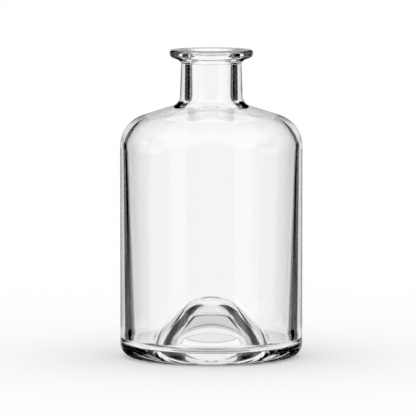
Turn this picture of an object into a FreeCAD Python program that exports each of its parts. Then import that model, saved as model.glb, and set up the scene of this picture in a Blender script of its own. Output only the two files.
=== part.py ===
# Clear glass apothecary bottle, moulded in one piece: a straight round body with a thick heel,
# a round shoulder, a short neck with a flared lip, and a bell-shaped punt pushed up into the
# base. Millimetres, +Z up, the origin at the middle of the ring that it stands on.

import FreeCAD, Part
import math
import os
import Sketcher

NODE = "bottle"

# Driving dimensions: alias, value, what it measures. Lengths in mm, angles in degrees.
SIZES = [
    ("body_diameter", 87.0, "outside of the straight body"),
    ("overall_height", 146.7, "standing ring to the top of the lip"),
    ("heel_radius", 6.25, "rounding outside, between the standing ring and the body"),
    ("shoulder_radius", 15.3, "rounding outside, between the body and the shoulder's cone"),
    ("shoulder_slope", 17.8, "rise of the shoulder's cone towards the neck"),
    ("neck_diameter", 28.8, "outside of the neck, at its collar corner"),
    ("neck_taper", 0.5, "how far the neck leans out on its way down, each side"),
    ("neck_length", 15.5, "collar corner down to where the neck's root begins"),
    ("neck_root_radius", 5.3, "hollow rounding outside, between the cone and the neck"),
    ("finish_height", 6.25, "collar corner up to the top of the lip"),
    ("flare_radius", 4.2, "hollow rounding outside, between the neck and the lip's underside"),
    ("flare_slope", 21.0, "rise of the lip's underside, outwards"),
    ("lip_overhang", 5.5, "how far the lip reaches out beyond the neck"),
    ("lip_top_rounding", 1.1, "rounding of the lip's top edge"),
    ("lip_under_rounding", 2.2, "rounding of the lip's lower edge"),
    ("lip_edge", 0.6, "straight rim between the lip's two roundings"),
    ("bore_diameter", 20.8, "inside of the neck, for a cork or a stopper"),
    ("mouth_radius", 0.8, "rounding of the bore's top edge"),
    ("bore_root_radius", 7.6, "rounding inside, between the bore and the shoulder"),
    ("shoulder_wall", 2.5, "glass of the shoulder's cone and of the top of the body"),
    ("inner_shoulder_radius", 16.0, "rounding inside, between the body and the cone"),
    ("body_wall", 5.2, "glass of the body, just above its inside corner"),
    ("corner_radius", 3.6, "rounding inside, between the wall and the floor"),
    ("floor_thickness", 5.6, "glass between the standing ring and the lowest inside point"),
    ("floor_sweep_radius", 7.8, "sweep inside, from the floor up onto the punt"),
    ("punt_flank_reach", 14.1, "level run of the punt's flank, from its nose's side to the sweep"),
    ("punt_glass", 4.8, "glass at the top of the punt"),
    ("punt_height", 23.5, "hollow under the base, from the standing ring"),
    ("hollow_nose_radius", 13.2, "rounding of the top of the hollow under the base"),
    ("waist_radius", 23.0, "where the hollow's flank meets its skirt, from the axis"),
    ("waist_height", 0.5, "the same place, from the standing ring"),
    ("waist_rounding", 2.8, "rounding between the hollow's flank and its skirt"),
    ("ring_width", 2.0, "flat ring that the bottle stands on"),
]
SAME_PLACE = 1e-4

document = FreeCAD.newDocument("GlassBottle")
sheet = document.addObject("Spreadsheet::Sheet", "Sizes")
size = {}
for row, (alias, value, meaning) in enumerate(SIZES, start=1):
    sheet.set(f"A{row}", alias)
    sheet.set(f"B{row}", str(value))
    sheet.set(f"C{row}", meaning)
    sheet.setAlias(f"B{row}", alias)
    size[alias] = value
document.recompute()

# A sketch's own names for points on an edge, its upright axis and its origin.
START, END, CENTRE = 1, 2, 3
AXIS = -2
ORIGIN = (-1, 1)


def place(radius, height):
    """A point of the half section: distance from the bottle's axis, and height."""
    return FreeCAD.Vector(radius, height, 0)


def towards(degrees):
    """Unit vector in the half section, measured from outwards, up being 90."""
    return place(math.cos(math.radians(degrees)), math.sin(math.radians(degrees)))


def angle_of(vector):
    return math.degrees(math.atan2(vector.y, vector.x))


class Outline:
    """A closed half section in the XZ plane. Places given are first guesses; the rules decide."""

    def __init__(self, body, name):
        self.sketch = body.newObject("Sketcher::SketchObject", name)
        planes = [plane for plane in body.Origin.OriginFeatures if plane.Role == "XZ_Plane"]
        self.sketch.AttachmentSupport = [(planes[0], "")]
        self.sketch.MapMode = "FlatFace"

    def line(self, start, end):
        return self.sketch.addGeometry(Part.LineSegment(start, end), False)

    def arc(self, centre, radius, first, last):
        """An arc that runs anticlockwise from the first to the last angle, in degrees."""
        circle = Part.Circle(centre, FreeCAD.Vector(0, 0, 1), radius)
        return self.sketch.addGeometry(
            Part.ArcOfCircle(circle, math.radians(first), math.radians(last)), False)

    def rule(self, kind, *places):
        return self.sketch.addConstraint(Sketcher.Constraint(kind, *places))

    def bind(self, name, expression, kind, *places):
        """A dimension that follows the spreadsheet."""
        self.sketch.renameConstraint(self.rule(kind, *places), name)
        self.sketch.setExpression(f"Constraints.{name}", expression)

    def measure(self, name, kind, *places):
        """A dimension that drives nothing, for other outlines to follow."""
        index = self.rule(kind, *places)
        self.sketch.setDriving(index, False)
        self.sketch.renameConstraint(index, name)

    def turn(self, body, kind, name):
        """Revolves the outline about the bottle's axis, and gives the volume that changes."""
        before = body.Shape.Volume if body.Tip else 0
        feature = body.newObject(f"PartDesign::{kind}", name)
        feature.Profile = self.sketch
        feature.ReferenceAxis = (self.sketch, ["V_Axis"])
        feature.Angle = 360
        document.recompute()
        return abs(body.Shape.Volume - before)


body = document.addObject("PartDesign::Body", "Bottle")
body.Label = NODE
body_radius = size["body_diameter"] / 2
top = size["overall_height"]
slope = size["shoulder_slope"]

# ---------------------------------------------------------------- outside of the glass
heel = size["heel_radius"]
shoulder = size["shoulder_radius"]
root = size["neck_root_radius"]
neck_radius = size["neck_diameter"] / 2
lip = neck_radius + size["lip_overhang"]
lip_top = size["lip_top_rounding"]
lip_under = size["lip_under_rounding"]
flare = size["flare_radius"]
flare_slope = size["flare_slope"]

neck_head = place(neck_radius, top - size["finish_height"])
neck_foot = neck_head + place(size["neck_taper"], -size["neck_length"])
root_centre = neck_foot + place(root, 0)
cone_head = root_centre + towards(270 - slope) * root
cone_foot_radius = body_radius - shoulder + shoulder * math.sin(math.radians(slope))
cone_drop = (cone_foot_radius - cone_head.x) * math.tan(math.radians(slope))
cone_foot = place(cone_foot_radius, cone_head.y - cone_drop)
shoulder_centre = cone_foot - towards(90 - slope) * shoulder
lip_top_centre = place(lip - lip_top, top - lip_top)
lip_under_centre = place(lip - lip_under, top - lip_top - size["lip_edge"])
underside_head = lip_under_centre + towards(flare_slope - 90) * lip_under
# The flare's arc touches the lip's underside and passes through the neck's head.
underside_way = towards(flare_slope)
underside_normal = towards(flare_slope - 90)
back = neck_head - underside_head
run_in = math.sqrt(flare ** 2 - (flare - back.dot(underside_normal)) ** 2)
underside_foot = underside_head + underside_way * (back.dot(underside_way) + run_in)
flare_centre = underside_foot + underside_normal * flare

outside = Outline(body, "Outside")
base = outside.line(place(0, 0), place(body_radius - heel, 0))
heel_arc = outside.arc(place(body_radius - heel, heel), heel, -90, 0)
side = outside.line(place(body_radius, heel), place(body_radius, shoulder_centre.y))
shoulder_arc = outside.arc(shoulder_centre, shoulder, 0, 90 - slope)
cone = outside.line(cone_foot, cone_head)
root_arc = outside.arc(root_centre, root, 180, 270 - slope)
neck = outside.line(neck_foot, neck_head)
flare_arc = outside.arc(flare_centre, flare, 90 + flare_slope,
                        angle_of(neck_head - flare_centre) % 360)
underside = outside.line(underside_foot, underside_head)
lip_under_arc = outside.arc(lip_under_centre, lip_under, flare_slope - 90, 0)
rim = outside.line(place(lip, lip_under_centre.y), place(lip, lip_top_centre.y))
lip_top_arc = outside.arc(lip_top_centre, lip_top, 0, 90)
crown = outside.line(place(lip_top_centre.x, top), place(0, top))
core = outside.line(place(0, top), place(0, 0))

outside.rule("Coincident", base, START, *ORIGIN)
outside.rule("Horizontal", base)
outside.rule("Tangent", base, END, heel_arc, START)
outside.rule("Tangent", heel_arc, END, side, START)
outside.rule("Vertical", side)
outside.rule("Tangent", side, END, shoulder_arc, START)
outside.rule("Tangent", shoulder_arc, END, cone, START)
outside.rule("Tangent", cone, END, root_arc, END)
outside.rule("Tangent", root_arc, START, neck, START)
outside.rule("Coincident", neck, END, flare_arc, END)
outside.rule("Tangent", flare_arc, START, underside, START)
outside.rule("Tangent", underside, END, lip_under_arc, START)
outside.rule("Tangent", lip_under_arc, END, rim, START)
outside.rule("Vertical", rim)
outside.rule("Tangent", rim, END, lip_top_arc, START)
outside.rule("Tangent", lip_top_arc, END, crown, START)
outside.rule("Horizontal", crown)
outside.rule("Coincident", crown, END, core, START)
outside.rule("PointOnObject", crown, END, AXIS)
outside.rule("Coincident", core, END, base, START)
outside.bind("Body", "Sizes.body_diameter / 2", "DistanceX", *ORIGIN, side, START, body_radius)
outside.bind("Heel", "Sizes.heel_radius", "Radius", heel_arc, heel)
outside.bind("Shoulder", "Sizes.shoulder_radius", "Radius", shoulder_arc, shoulder)
outside.bind("Slope", "(180 - Sizes.shoulder_slope) * 1 deg",
             "Angle", cone, math.radians(180 - slope))
outside.bind("NeckRoot", "Sizes.neck_root_radius", "Radius", root_arc, root)
outside.bind("NeckFoot", "Sizes.neck_diameter / 2 + Sizes.neck_taper",
             "DistanceX", *ORIGIN, neck, START, neck_foot.x)
outside.bind("NeckHead", "Sizes.neck_diameter / 2",
             "DistanceX", *ORIGIN, neck, END, neck_head.x)
outside.bind("NeckLength", "Sizes.neck_length",
             "DistanceY", neck, START, neck, END, size["neck_length"])
outside.bind("Finish", "Sizes.finish_height",
             "DistanceY", neck, END, crown, END, size["finish_height"])
outside.bind("Flare", "Sizes.flare_radius", "Radius", flare_arc, flare)
outside.bind("FlareSlope", "Sizes.flare_slope * 1 deg",
             "Angle", underside, math.radians(flare_slope))
outside.bind("LipUnder", "Sizes.lip_under_rounding", "Radius", lip_under_arc, lip_under)
outside.bind("Rim", "Sizes.lip_edge", "DistanceY", rim, START, rim, END, size["lip_edge"])
outside.bind("LipTop", "Sizes.lip_top_rounding", "Radius", lip_top_arc, lip_top)
outside.bind("Lip", "Sizes.neck_diameter / 2 + Sizes.lip_overhang",
             "DistanceX", *ORIGIN, rim, END, lip)
outside.bind("Top", "Sizes.overall_height", "DistanceY", *ORIGIN, crown, END, top)
outside.measure("ShoulderHeight", "DistanceY", *ORIGIN, shoulder_arc, CENTRE, shoulder_centre.y)
document.recompute()
outside.turn(body, "Revolution", "Glass")

# ---------------------------------------------------------------- room inside the bottle
bore = size["bore_diameter"] / 2
bore_root = size["bore_root_radius"]
shoulder_wall = size["shoulder_wall"]
corner = size["corner_radius"]
floor = size["floor_thickness"]
sweep = size["floor_sweep_radius"]
punt_top = size["punt_height"] + size["punt_glass"]

inner_shoulder = size["inner_shoulder_radius"]
# The inner cone lies one shoulder wall under the outer one.
inset = shoulder_wall + inner_shoulder - shoulder
inner_shoulder_centre = shoulder_centre - place(
    inset, inset * (1 - math.sin(math.radians(slope))) / math.cos(math.radians(slope)))
inner_cone_foot = inner_shoulder_centre + towards(90 - slope) * inner_shoulder
bore_root_centre = place(bore + bore_root, 0)
inner_cone_rise = (inner_cone_foot.x - bore_root_centre.x) * math.tan(math.radians(slope))
bore_root_centre.y = inner_cone_foot.y + inner_cone_rise + bore_root / math.cos(math.radians(slope))
corner_centre = place(body_radius - size["body_wall"] - corner, floor + corner)
sweep_centre = place(corner_centre.x, floor + sweep)
punt_nose = corner_centre.x - size["punt_flank_reach"]
punt_nose_centre = place(0, punt_top - punt_nose)
# The punt's flank touches both roundings, above the nose's centre and below the sweep's.
span = sweep_centre - punt_nose_centre
flank_slope = math.degrees(math.asin((punt_nose + sweep) / span.Length)) - angle_of(span)
flank_normal = towards(90 - flank_slope)

inside = Outline(body, "Inside")
punt_nose_arc = inside.arc(punt_nose_centre, punt_nose, 90 - flank_slope, 90)
flank = inside.line(punt_nose_centre + flank_normal * punt_nose,
                    sweep_centre - flank_normal * sweep)
sweep_arc = inside.arc(sweep_centre, sweep, 270 - flank_slope, 270)
corner_arc = inside.arc(corner_centre, corner, -90, -2)
wall = inside.line(corner_centre + towards(-2) * corner,
                   inner_shoulder_centre + towards(-2) * inner_shoulder)
inner_shoulder_arc = inside.arc(inner_shoulder_centre, inner_shoulder, -2, 90 - slope)
inner_cone = inside.line(inner_cone_foot, bore_root_centre + towards(270 - slope) * bore_root)
bore_root_arc = inside.arc(bore_root_centre, bore_root, 180, 270 - slope)
bore_line = inside.line(place(bore, bore_root_centre.y), place(bore, top))
mouth = inside.line(place(bore, top), place(0, top))
middle = inside.line(place(0, top), place(0, punt_top))

inside.rule("PointOnObject", punt_nose_arc, END, AXIS)
inside.rule("PointOnObject", punt_nose_arc, CENTRE, AXIS)
inside.rule("Tangent", punt_nose_arc, START, flank, START)
inside.rule("Tangent", flank, END, sweep_arc, START)
inside.rule("Tangent", sweep_arc, END, corner_arc, START)
inside.rule("Vertical", sweep_arc, CENTRE, corner_arc, CENTRE)
inside.rule("Tangent", corner_arc, END, wall, START)
inside.rule("Tangent", wall, END, inner_shoulder_arc, START)
inside.rule("Tangent", inner_shoulder_arc, END, inner_cone, START)
inside.rule("Tangent", inner_cone, END, bore_root_arc, END)
inside.rule("Tangent", bore_root_arc, START, bore_line, START)
inside.rule("Vertical", bore_line)
inside.rule("Coincident", bore_line, END, mouth, START)
inside.rule("Horizontal", mouth)
inside.rule("Coincident", mouth, END, middle, START)
inside.rule("PointOnObject", mouth, END, AXIS)
inside.rule("Coincident", middle, END, punt_nose_arc, END)
inside.bind("PuntNose", "Sizes.body_diameter / 2 - Sizes.body_wall - Sizes.corner_radius"
            " - Sizes.punt_flank_reach", "Radius", punt_nose_arc, punt_nose)
inside.bind("PuntTop", "Sizes.punt_height + Sizes.punt_glass",
            "DistanceY", *ORIGIN, punt_nose_arc, END, punt_top)
inside.bind("Sweep", "Sizes.floor_sweep_radius", "Radius", sweep_arc, sweep)
inside.bind("Corner", "Sizes.corner_radius", "Radius", corner_arc, corner)
inside.bind("Floor", "Sizes.floor_thickness", "DistanceY", *ORIGIN, sweep_arc, END, floor)
inside.bind("WallFoot", "Sizes.body_diameter / 2 - Sizes.body_wall - Sizes.corner_radius",
            "DistanceX", *ORIGIN, corner_arc, CENTRE, corner_centre.x)
inside.bind("InnerShoulder", "Sizes.inner_shoulder_radius",
            "Radius", inner_shoulder_arc, inner_shoulder)
inside.bind("InnerShoulderReach",
            "Sizes.body_diameter / 2 - Sizes.shoulder_wall - Sizes.inner_shoulder_radius",
            "DistanceX", *ORIGIN, inner_shoulder_arc, CENTRE, inner_shoulder_centre.x)
inside.bind("InnerShoulderHeight",
            "Outside.Constraints.ShoulderHeight"
            " - (Sizes.shoulder_wall + Sizes.inner_shoulder_radius - Sizes.shoulder_radius)"
            " * 1 mm * (1 - sin(Sizes.shoulder_slope * 1 deg)) / cos(Sizes.shoulder_slope * 1 deg)",
            "DistanceY", *ORIGIN, inner_shoulder_arc, CENTRE, inner_shoulder_centre.y)
inside.bind("InnerSlope", "(180 - Sizes.shoulder_slope) * 1 deg",
            "Angle", inner_cone, math.radians(180 - slope))
inside.bind("BoreRoot", "Sizes.bore_root_radius", "Radius", bore_root_arc, bore_root)
inside.bind("Bore", "Sizes.bore_diameter / 2", "DistanceX", *ORIGIN, bore_line, END, bore)
inside.bind("Mouth", "Sizes.overall_height", "DistanceY", *ORIGIN, mouth, END, top)
document.recompute()
room_volume = inside.turn(body, "Groove", "Room")

# ---------------------------------------------------------------- hollow under the base
hollow_nose = size["hollow_nose_radius"]
hollow_top = size["punt_height"]
waist = place(size["waist_radius"], size["waist_height"])
ring_inner = body_radius - heel - size["ring_width"]
hollow_nose_centre = place(0, hollow_top - hollow_nose)
reach = waist - hollow_nose_centre
lean = math.degrees(math.asin(hollow_nose / reach.Length))
hollow_slope = lean - angle_of(reach)

under = Outline(body, "Under")
hollow_nose_arc = under.arc(hollow_nose_centre, hollow_nose, 90 - hollow_slope, 90)
hollow_flank = under.line(hollow_nose_centre + towards(90 - hollow_slope) * hollow_nose, waist)
skirt = under.line(waist, place(ring_inner, 0))
opening = under.line(place(ring_inner, 0), place(0, 0))
rise = under.line(place(0, 0), place(0, hollow_top))

under.rule("PointOnObject", hollow_nose_arc, END, AXIS)
under.rule("PointOnObject", hollow_nose_arc, CENTRE, AXIS)
under.rule("Tangent", hollow_nose_arc, START, hollow_flank, START)
under.rule("Coincident", hollow_flank, END, skirt, START)
under.rule("Coincident", skirt, END, opening, START)
under.rule("Horizontal", opening)
under.rule("Coincident", opening, END, *ORIGIN)
under.rule("Coincident", opening, END, rise, START)
under.rule("Coincident", rise, END, hollow_nose_arc, END)
under.bind("HollowNose", "Sizes.hollow_nose_radius", "Radius", hollow_nose_arc, hollow_nose)
under.bind("HollowTop", "Sizes.punt_height", "DistanceY", *ORIGIN, hollow_nose_arc, END, hollow_top)
under.bind("WaistRadius", "Sizes.waist_radius", "DistanceX", *ORIGIN, skirt, START, waist.x)
under.bind("WaistHeight", "Sizes.waist_height", "DistanceY", *ORIGIN, skirt, START, waist.y)
under.bind("RingInner", "Sizes.body_diameter / 2 - Sizes.heel_radius - Sizes.ring_width",
           "DistanceX", *ORIGIN, opening, START, ring_inner)
document.recompute()
hollow_volume = under.turn(body, "Groove", "Hollow")


# ---------------------------------------------------------------- rounded edges
def round_edge(name, radius, height, rounding):
    """Rounds the circular edge of this radius and height."""
    edges = []
    for index, edge in enumerate(body.Shape.Edges, start=1):
        if edge.Degenerated or not isinstance(edge.Curve, Part.Circle):
            continue
        offset = abs(edge.Curve.Radius - radius) + abs(edge.Curve.Center.z - height)
        if offset < SAME_PLACE:
            edges.append(f"Edge{index}")
    if not edges:
        raise RuntimeError(f"{name} found no edge")
    rounded = body.Tip
    fillet = body.newObject("PartDesign::Fillet", name)
    fillet.Base = (rounded, edges)
    fillet.setExpression("Radius", f"Sizes.{rounding}")
    document.recompute()


round_edge("MouthRounding", bore, top, "mouth_radius")
round_edge("WaistRounding", waist.x, waist.y, "waist_rounding")

# ---------------------------------------------------------------- tests and output
for item in document.Objects:
    if "Invalid" in item.State or "Error" in item.State:
        raise RuntimeError(f"{item.Name} failed: {item.State}")
shape = body.Shape
if shape.isNull() or not shape.isValid() or len(shape.Solids) != 1:
    raise RuntimeError("the bottle isn't one valid solid")
if min(room_volume, hollow_volume) < 1:
    raise RuntimeError("a hollow wasn't cut")

os.makedirs("parts", exist_ok=True)
shape.exportStep(f"parts/{body.Label}.step")
box = shape.optimalBoundingBox()
print(f"{body.Label}: {box.XLength:.2f} x {box.YLength:.2f} x {box.ZLength:.2f} mm,"
      f" glass {shape.Volume / 1000:.1f} ml, room {room_volume / 1000:.1f} ml,"
      f" hollow {hollow_volume / 1000:.1f} ml")
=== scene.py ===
"""A clear glass apothecary bottle, empty and open, on a plain pale floor."""
import math

import bpy
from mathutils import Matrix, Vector


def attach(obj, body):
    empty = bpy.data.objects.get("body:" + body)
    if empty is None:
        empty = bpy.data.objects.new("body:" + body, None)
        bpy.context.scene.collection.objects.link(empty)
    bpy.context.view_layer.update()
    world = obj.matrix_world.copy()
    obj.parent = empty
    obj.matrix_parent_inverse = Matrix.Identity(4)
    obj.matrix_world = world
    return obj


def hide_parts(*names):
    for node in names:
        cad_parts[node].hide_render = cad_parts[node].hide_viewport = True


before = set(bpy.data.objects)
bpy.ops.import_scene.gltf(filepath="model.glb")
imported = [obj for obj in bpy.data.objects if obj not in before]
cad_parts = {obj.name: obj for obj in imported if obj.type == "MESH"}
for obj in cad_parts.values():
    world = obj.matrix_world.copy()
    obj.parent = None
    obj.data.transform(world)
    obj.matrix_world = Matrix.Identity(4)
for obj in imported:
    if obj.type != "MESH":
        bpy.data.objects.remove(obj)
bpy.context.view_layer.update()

MM = 0.001

# ------------------------------------------------------------------ the bottle's sizes, in mm
BODY_RADIUS = 43.5
HEIGHT = 146.7
HEEL_RADIUS = 6.25
SHOULDER_RADIUS = 15.3
SHOULDER_SLOPE = 17.8
NECK_RADIUS = 14.4
NECK_TAPER = 0.5
NECK_LENGTH = 15.5
NECK_ROOT_RADIUS = 5.3
FINISH_HEIGHT = 6.25
FLARE_RADIUS = 4.2
FLARE_SLOPE = 21.0
LIP_RADIUS = 19.9
LIP_TOP_ROUNDING = 1.1
LIP_UNDER_ROUNDING = 2.2
LIP_EDGE = 0.6
BORE_RADIUS = 10.4
MOUTH_RADIUS = 0.8
BORE_ROOT_RADIUS = 7.6
SHOULDER_WALL = 2.5
INNER_SHOULDER_RADIUS = 16.0
BODY_WALL = 5.2
CORNER_RADIUS = 3.6
FLOOR_THICKNESS = 5.6
FLOOR_SWEEP_RADIUS = 7.8
PUNT_NOSE_RADIUS = 20.6
PUNT_GLASS = 4.8
PUNT_HEIGHT = 23.5
HOLLOW_NOSE_RADIUS = 13.2
WAIST_RADIUS = 23.0
WAIST_HEIGHT = 0.5
WAIST_ROUNDING = 2.8
RING_WIDTH = 2.0
COLLAR_ROUNDING = 0.35
COLLAR_FOOT = 0.02
COLLAR_HEAD = 0.06

# ------------------------------------------------------------------ how finely it is turned
AROUND = 200               # faces round the axis
NOSE_STEP = 2.5            # degrees between the rows on an arc
FILLET_STEP = 3
SHOULDER_STEP = 2
FLARE_STEP = 4
CORNER_STEP = 5
LIP_STEP = 6
MOUTH_STEP = 9
WALL_RUN = 3.0             # mm between the rows on a straight stretch
NECK_RUN = 1.5
FLANK_RUN = 1.0
TOP_RUN = 0.8
SKIRT_RUN = 0.6
UNDERSIDE_RUN = 0.5
RING_RUN = 0.4


# ------------------------------------------------------------------ half section
def point(radius, height):
    return Vector((radius, height))


def towards(degrees):
    """Unit vector in the half section, measured from outwards, up being 90."""
    return Vector((math.cos(math.radians(degrees)), math.sin(math.radians(degrees))))


def angle_of(vector):
    return math.degrees(math.atan2(vector.y, vector.x))


def arc(centre, radius, first, last, step):
    """Points on an arc, about this many degrees apart, from one angle to the other."""
    count = max(2, math.ceil(abs(last - first) / step))
    return [centre + towards(first + (last - first) * i / count) * radius
            for i in range(count + 1)]


def run(start, end, step):
    """Points on a straight stretch, about this many mm apart, without its ends."""
    count = max(1, math.ceil((end - start).length / step))
    return [start.lerp(end, i / count) for i in range(1, count)]


def rounded(before, corner, after, radius, step):
    """An arc that rounds a corner between two straight stretches."""
    back = (before - corner).normalized()
    on = (after - corner).normalized()
    half = math.acos(max(-1, min(1, back.dot(on)))) / 2
    centre = corner + (back + on).normalized() * (radius / math.sin(half))
    first = corner + back * (radius / math.tan(half)) - centre
    last = corner + on * (radius / math.tan(half)) - centre
    turn = (angle_of(last) - angle_of(first) + 180) % 360 - 180
    return arc(centre, radius, angle_of(first), angle_of(first) + turn, step)


def half_section():
    """The bottle's half section in three stretches: the hollow under the base from its middle
    to the standing ring, the outside up to the lip, and the lip down to the middle of the punt."""
    slope = SHOULDER_SLOPE
    neck_head = point(NECK_RADIUS, HEIGHT - FINISH_HEIGHT)
    neck_foot = neck_head + point(NECK_TAPER, -NECK_LENGTH)
    root_centre = neck_foot + point(NECK_ROOT_RADIUS, 0)
    cone_head = root_centre + towards(270 - slope) * NECK_ROOT_RADIUS
    reach = BODY_RADIUS - SHOULDER_RADIUS + SHOULDER_RADIUS * math.sin(math.radians(slope))
    cone_drop = (reach - cone_head.x) * math.tan(math.radians(slope))
    cone_foot = point(reach, cone_head.y - cone_drop)
    shoulder_centre = cone_foot - towards(90 - slope) * SHOULDER_RADIUS
    top_centre = point(LIP_RADIUS - LIP_TOP_ROUNDING, HEIGHT - LIP_TOP_ROUNDING)
    under_centre = point(LIP_RADIUS - LIP_UNDER_ROUNDING,
                         HEIGHT - LIP_TOP_ROUNDING - LIP_EDGE)
    under_foot = under_centre + towards(FLARE_SLOPE - 90) * LIP_UNDER_ROUNDING
    # The flare's arc touches the sloping underside and passes through the neck's head.
    along = towards(FLARE_SLOPE)
    aside = point(along.y, -along.x)
    gap = (neck_head - under_foot).dot(aside)
    run_in = math.sqrt(FLARE_RADIUS ** 2 - (FLARE_RADIUS - gap) ** 2)
    flare_foot = under_foot + along * ((neck_head - under_foot).dot(along) + run_in)
    flare_centre = flare_foot + aside * FLARE_RADIUS

    # Under the base.
    hollow_centre = point(0, PUNT_HEIGHT - HOLLOW_NOSE_RADIUS)
    waist = point(WAIST_RADIUS, WAIST_HEIGHT)
    lean = math.degrees(math.asin(HOLLOW_NOSE_RADIUS / (waist - hollow_centre).length))
    hollow_slope = lean - angle_of(waist - hollow_centre)
    flank_head = hollow_centre + towards(90 - hollow_slope) * HOLLOW_NOSE_RADIUS
    ring_inner = point(BODY_RADIUS - HEEL_RADIUS - RING_WIDTH, 0)
    ring_outer = point(BODY_RADIUS - HEEL_RADIUS, 0)
    waist_arc = rounded(flank_head, waist, ring_inner, WAIST_ROUNDING, FILLET_STEP)
    under = arc(hollow_centre, HOLLOW_NOSE_RADIUS, 90, 90 - hollow_slope, NOSE_STEP)
    under += run(under[-1], waist_arc[0], FLANK_RUN) + waist_arc
    under += run(under[-1], ring_inner, SKIRT_RUN) + [ring_inner]
    under += run(ring_inner, ring_outer, RING_RUN)

    # Outside.
    heel_centre = point(BODY_RADIUS - HEEL_RADIUS, HEEL_RADIUS)
    outside = arc(heel_centre, HEEL_RADIUS, -90, 0, FILLET_STEP)
    outside += run(outside[-1], point(BODY_RADIUS, shoulder_centre.y), WALL_RUN)
    outside += arc(shoulder_centre, SHOULDER_RADIUS, 0, 90 - slope, SHOULDER_STEP)
    outside += run(cone_foot, cone_head, NECK_RUN)
    outside += arc(root_centre, NECK_ROOT_RADIUS, 270 - slope, 180, FILLET_STEP)
    outside += run(neck_foot, neck_head + point(0, -COLLAR_ROUNDING), NECK_RUN)
    # The flare's arc starts one step on, as the collar's rounding takes its first bit.
    flare_start = angle_of(neck_head - flare_centre) % 360 - FLARE_STEP
    flare = arc(flare_centre, FLARE_RADIUS, flare_start, 90 + FLARE_SLOPE, FLARE_STEP)
    outside += [neck_head + point(COLLAR_FOOT, -COLLAR_ROUNDING),
                neck_head + point(COLLAR_HEAD, 0)]
    outside += flare + run(flare[-1], under_foot, UNDERSIDE_RUN)
    outside += arc(under_centre, LIP_UNDER_ROUNDING, FLARE_SLOPE - 90, 0, LIP_STEP)
    outside += arc(top_centre, LIP_TOP_ROUNDING, 0, 90, LIP_STEP)

    # Lip, bore and room.
    mouth_centre = point(BORE_RADIUS + MOUTH_RADIUS, HEIGHT - MOUTH_RADIUS)
    inner_centre = point(BODY_RADIUS - SHOULDER_WALL - INNER_SHOULDER_RADIUS, 0)
    inner_centre.y = (cone_foot.y + (cone_foot.x - inner_centre.x) * math.tan(math.radians(slope))
                      - (SHOULDER_WALL + INNER_SHOULDER_RADIUS) / math.cos(math.radians(slope)))
    inner_foot = inner_centre + towards(90 - slope) * INNER_SHOULDER_RADIUS
    bore_centre = point(BORE_RADIUS + BORE_ROOT_RADIUS, 0)
    inner_rise = (inner_foot.x - bore_centre.x) * math.tan(math.radians(slope))
    bore_centre.y = inner_foot.y + inner_rise + BORE_ROOT_RADIUS / math.cos(math.radians(slope))
    corner_centre = point(BODY_RADIUS - BODY_WALL - CORNER_RADIUS,
                          FLOOR_THICKNESS + CORNER_RADIUS)
    sweep_centre = point(corner_centre.x, FLOOR_THICKNESS + FLOOR_SWEEP_RADIUS)
    punt_centre = point(0, PUNT_HEIGHT + PUNT_GLASS - PUNT_NOSE_RADIUS)
    # The wall's line touches the corner's arc and the shoulder's.
    rise = inner_centre - corner_centre
    lean = 90 - angle_of(rise) - math.degrees(
        math.asin((INNER_SHOULDER_RADIUS - CORNER_RADIUS) / rise.length))
    span = sweep_centre - punt_centre
    flank_slope = math.degrees(
        math.asin((PUNT_NOSE_RADIUS + FLOOR_SWEEP_RADIUS) / span.length)) - angle_of(span)
    inside = run(outside[-1], point(BORE_RADIUS + MOUTH_RADIUS, HEIGHT), TOP_RUN)
    inside += arc(mouth_centre, MOUTH_RADIUS, 90, 180, MOUTH_STEP)
    inside += run(inside[-1], point(BORE_RADIUS, bore_centre.y), NECK_RUN)
    inside += arc(bore_centre, BORE_ROOT_RADIUS, 180, 270 - slope, FILLET_STEP)
    inside += run(inside[-1], inner_foot, NECK_RUN)
    inside += arc(inner_centre, INNER_SHOULDER_RADIUS, 90 - slope, -lean, SHOULDER_STEP)
    corner = arc(corner_centre, CORNER_RADIUS, -lean, -90, CORNER_STEP)
    inside += run(inside[-1], corner[0], WALL_RUN) + corner
    inside += arc(sweep_centre, FLOOR_SWEEP_RADIUS, 270, 270 - flank_slope, FILLET_STEP)[1:]
    punt_arc = arc(punt_centre, PUNT_NOSE_RADIUS, 90 - flank_slope, 90, NOSE_STEP)
    inside += run(inside[-1], punt_arc[0], FLANK_RUN) + punt_arc
    return under, outside, inside


def lathe(name, section):
    """Turns a half section that starts and ends on the axis into a closed mesh."""
    rows = section[1:-1]
    verts = [(0, 0, section[0].y * MM)]
    for row in rows:
        for k in range(AROUND):
            a = 2 * math.pi * k / AROUND
            verts.append((row.x * math.cos(a) * MM, row.x * math.sin(a) * MM, row.y * MM))
    verts.append((0, 0, section[-1].y * MM))
    last = len(verts) - 1
    faces = []
    for k in range(AROUND):
        n = (k + 1) % AROUND
        faces.append((0, 1 + n, 1 + k))
        for j in range(len(rows) - 1):
            a = 1 + j * AROUND
            b = a + AROUND
            faces.append((a + k, a + n, b + n, b + k))
        faces.append((last, last - AROUND + k, last - AROUND + n))
    mesh = bpy.data.meshes.new(name)
    mesh.from_pydata(verts, [], faces)
    mesh.validate()
    mesh.polygons.foreach_set("use_smooth", [True] * len(mesh.polygons))
    obj = bpy.data.objects.new(name, mesh)
    bpy.context.scene.collection.objects.link(obj)
    return obj


under, outside, inside = half_section()
bottle = lathe("clear_bottle", under + outside + inside)
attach(bottle, "root")
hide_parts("bottle")


# ------------------------------------------------------------------ glass
GLASS_IOR = 1.5
WHITE = (1, 1, 1, 1)


def clear_glass():
    material = bpy.data.materials.new("clear_flint_glass")
    material.use_nodes = True
    nodes, links = material.node_tree.nodes, material.node_tree.links
    shader = nodes["Principled BSDF"]
    shader.inputs["Base Color"].default_value = WHITE
    shader.inputs["Roughness"].default_value = 0.0
    shader.inputs["IOR"].default_value = GLASS_IOR
    shader.inputs["Transmission Weight"].default_value = 1.0
    return material


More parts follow.
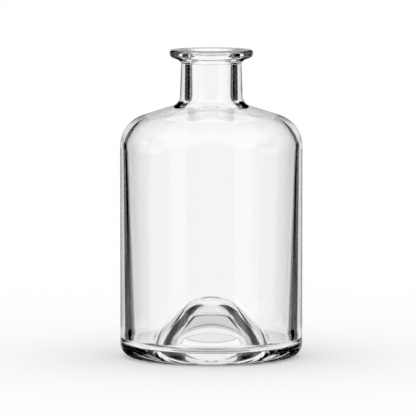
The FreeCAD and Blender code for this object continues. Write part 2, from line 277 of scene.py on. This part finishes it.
bottle.data.materials.append(clear_glass())


# ------------------------------------------------------------------ studio
# Azimuths are in degrees from the backdrop (+Y) towards the right (+X), elevations from the
# horizon. Each panel is (azimuth, half width, lowest, highest elevation, brightness).
BACK, RIGHT, FRONT, LEFT = 0, 90, 180, 270
CORNERS = (45, 135, 225, 315)
ALL_ROUND = 180
DOWN, UP = -90, 90
SWEEP_FOOT = -12.5         # where the upright panels end and the low ones start
LOW_FOOT = -32.5           # where the low panels end and the floor's light starts
DEEP = -60
PANEL_HEAD = 30
CANOPY_FOOT = 55
THROUGH_PANELS = (
    [(BACK + 0.5, 23.5, SWEEP_FOOT, CANOPY_FOOT, 1.0),
     (LEFT, 21, -7, PANEL_HEAD, 1.0),
     (RIGHT, 21, -7, PANEL_HEAD, 0.3),
     (FRONT, 60, SWEEP_FOOT, PANEL_HEAD, 0.5),
     (BACK, 30, -25.5, SWEEP_FOOT, 0.85)]
    + [(corner, 26, LOW_FOOT, SWEEP_FOOT, 1.0) for corner in CORNERS]
    + [(BACK, ALL_ROUND, DOWN, DEEP, 0.35),
       (BACK, ALL_ROUND, DEEP, LOW_FOOT, 0.87),
       (FRONT, 100, PANEL_HEAD, CANOPY_FOOT, 0.85),
       (BACK, ALL_ROUND, CANOPY_FOOT, UP, 0.85)]
)
GLOSS_PANELS = (
    (BACK + 2.5, 26.5, SWEEP_FOOT, 12, 0.45),
    (FRONT + 58, 27, -31, 22, 1.0),
    (FRONT - 45, 16, -31, 26, 1.0),
    (BACK, ALL_ROUND, PANEL_HEAD, UP, 0.6),
)
AZIMUTH_EDGE = 4.0         # degrees over which a panel's side fades
ELEVATION_EDGE = 1.0


def studio_world():
    """White all round for the camera, and an even light on the floor. What is seen through the
    glass is white and grey panels with dark gaps between them, and its gloss shows soft boxes."""
    world = bpy.data.worlds.new("studio")
    world.use_nodes = True
    bpy.context.scene.world = world
    tree = world.node_tree
    tree.nodes.clear()

    def maths(operation, *inputs):
        item = tree.nodes.new("ShaderNodeMath")
        item.operation = operation
        for socket, value in zip(item.inputs, inputs):
            if isinstance(value, (int, float)):
                socket.default_value = value
            else:
                tree.links.new(value, socket)
        return item.outputs[0]

    def beyond(value, edge, width):
        """0 below the edge, 1 above it, with a soft step."""
        item = tree.nodes.new("ShaderNodeMapRange")
        item.interpolation_type = "SMOOTHSTEP"
        tree.links.new(value, item.inputs["Value"])
        item.inputs["From Min"].default_value = edge - width / 2
        item.inputs["From Max"].default_value = edge + width / 2
        return item.outputs["Result"]

    coordinates = tree.nodes.new("ShaderNodeTexCoord")
    split = tree.nodes.new("ShaderNodeSeparateXYZ")
    tree.links.new(coordinates.outputs["Generated"], split.inputs[0])
    x, y, z = split.outputs
    elevation = maths("MULTIPLY", maths("ARCSINE", z), 180 / math.pi)
    azimuth = maths("MULTIPLY", maths("ARCTAN2", x, y), 180 / math.pi)

    def panels(listed):
        total = 0.0
        for middle, half, low, high, brightness in listed:
            part = maths("SUBTRACT", beyond(elevation, low, ELEVATION_EDGE),
                         beyond(elevation, high, ELEVATION_EDGE))
            if half < ALL_ROUND:
                away = maths("PINGPONG", maths("SUBTRACT", azimuth, middle), 180)
                within = maths("SUBTRACT", 1, beyond(away, half, AZIMUTH_EDGE))
                part = maths("MULTIPLY", part, within)
            total = maths("MAXIMUM", total, maths("MULTIPLY", part, brightness))
        return total

    light_path = tree.nodes.new("ShaderNodeLightPath")
    through = light_path.outputs["Is Transmission Ray"]
    gloss = maths("MULTIPLY", light_path.outputs["Is Glossy Ray"],
                  maths("SUBTRACT", 1, through))
    plain = maths("SUBTRACT", 1, maths("ADD", through, gloss))
    strength = maths("MULTIPLY_ADD", through, panels(THROUGH_PANELS), plain)
    strength = maths("MULTIPLY_ADD", gloss, panels(GLOSS_PANELS), strength)
    background = tree.nodes.new("ShaderNodeBackground")
    background.inputs["Color"].default_value = WHITE
    tree.links.new(strength, background.inputs["Strength"])
    output = tree.nodes.new("ShaderNodeOutputWorld")
    tree.links.new(background.outputs[0], output.inputs[0])


studio_world()

FLOOR_COLOUR = 0.88
FLOOR_SIZE = 3.0           # m from the middle to each edge


def floor():
    material = bpy.data.materials.new("pale_floor")
    material.use_nodes = True
    shader = material.node_tree.nodes["Principled BSDF"]
    shader.inputs["Base Color"].default_value = (FLOOR_COLOUR,) * 3 + (1,)
    shader.inputs["Roughness"].default_value = 1.0
    shader.inputs["Specular IOR Level"].default_value = 0.0
    shader.inputs["Emission Color"].default_value = WHITE
    shader.inputs["Emission Strength"].default_value = 1.0 - FLOOR_COLOUR
    mesh = bpy.data.meshes.new("floor")
    size = FLOOR_SIZE
    mesh.from_pydata([(-size, -size, 0), (size, -size, 0), (size, size, 0), (-size, size, 0)],
                     [], [(0, 1, 2, 3)])
    mesh.materials.append(material)
    obj = bpy.data.objects.new("floor", mesh)
    bpy.context.scene.collection.objects.link(obj)
    obj.visible_transmission = False
    obj.visible_glossy = False


floor()

# ------------------------------------------------------------------ camera
PHOTO_SPAN = 0.1987        # width of the view at the point aimed at, in m
DISTANCE = 2.36
CAMERA_HEIGHT = 0.2975
AIM = Vector((-0.00158, 0, 0.0710))
SENSOR_WIDTH = 36          # mm
CLIP_END = 20

camera_data = bpy.data.cameras.new("camera")
camera = bpy.data.objects.new("camera", camera_data)
bpy.context.scene.collection.objects.link(camera)
camera.location = (AIM.x, -DISTANCE, CAMERA_HEIGHT)
camera.rotation_euler = (AIM - camera.location).to_track_quat("-Z", "Y").to_euler()
camera_data.sensor_width = SENSOR_WIDTH
camera_data.lens = SENSOR_WIDTH * (AIM - camera.location).length / PHOTO_SPAN
camera_data.clip_end = CLIP_END
bpy.context.scene.camera = camera
bpy.context.scene.view_settings.view_transform = "Standard"
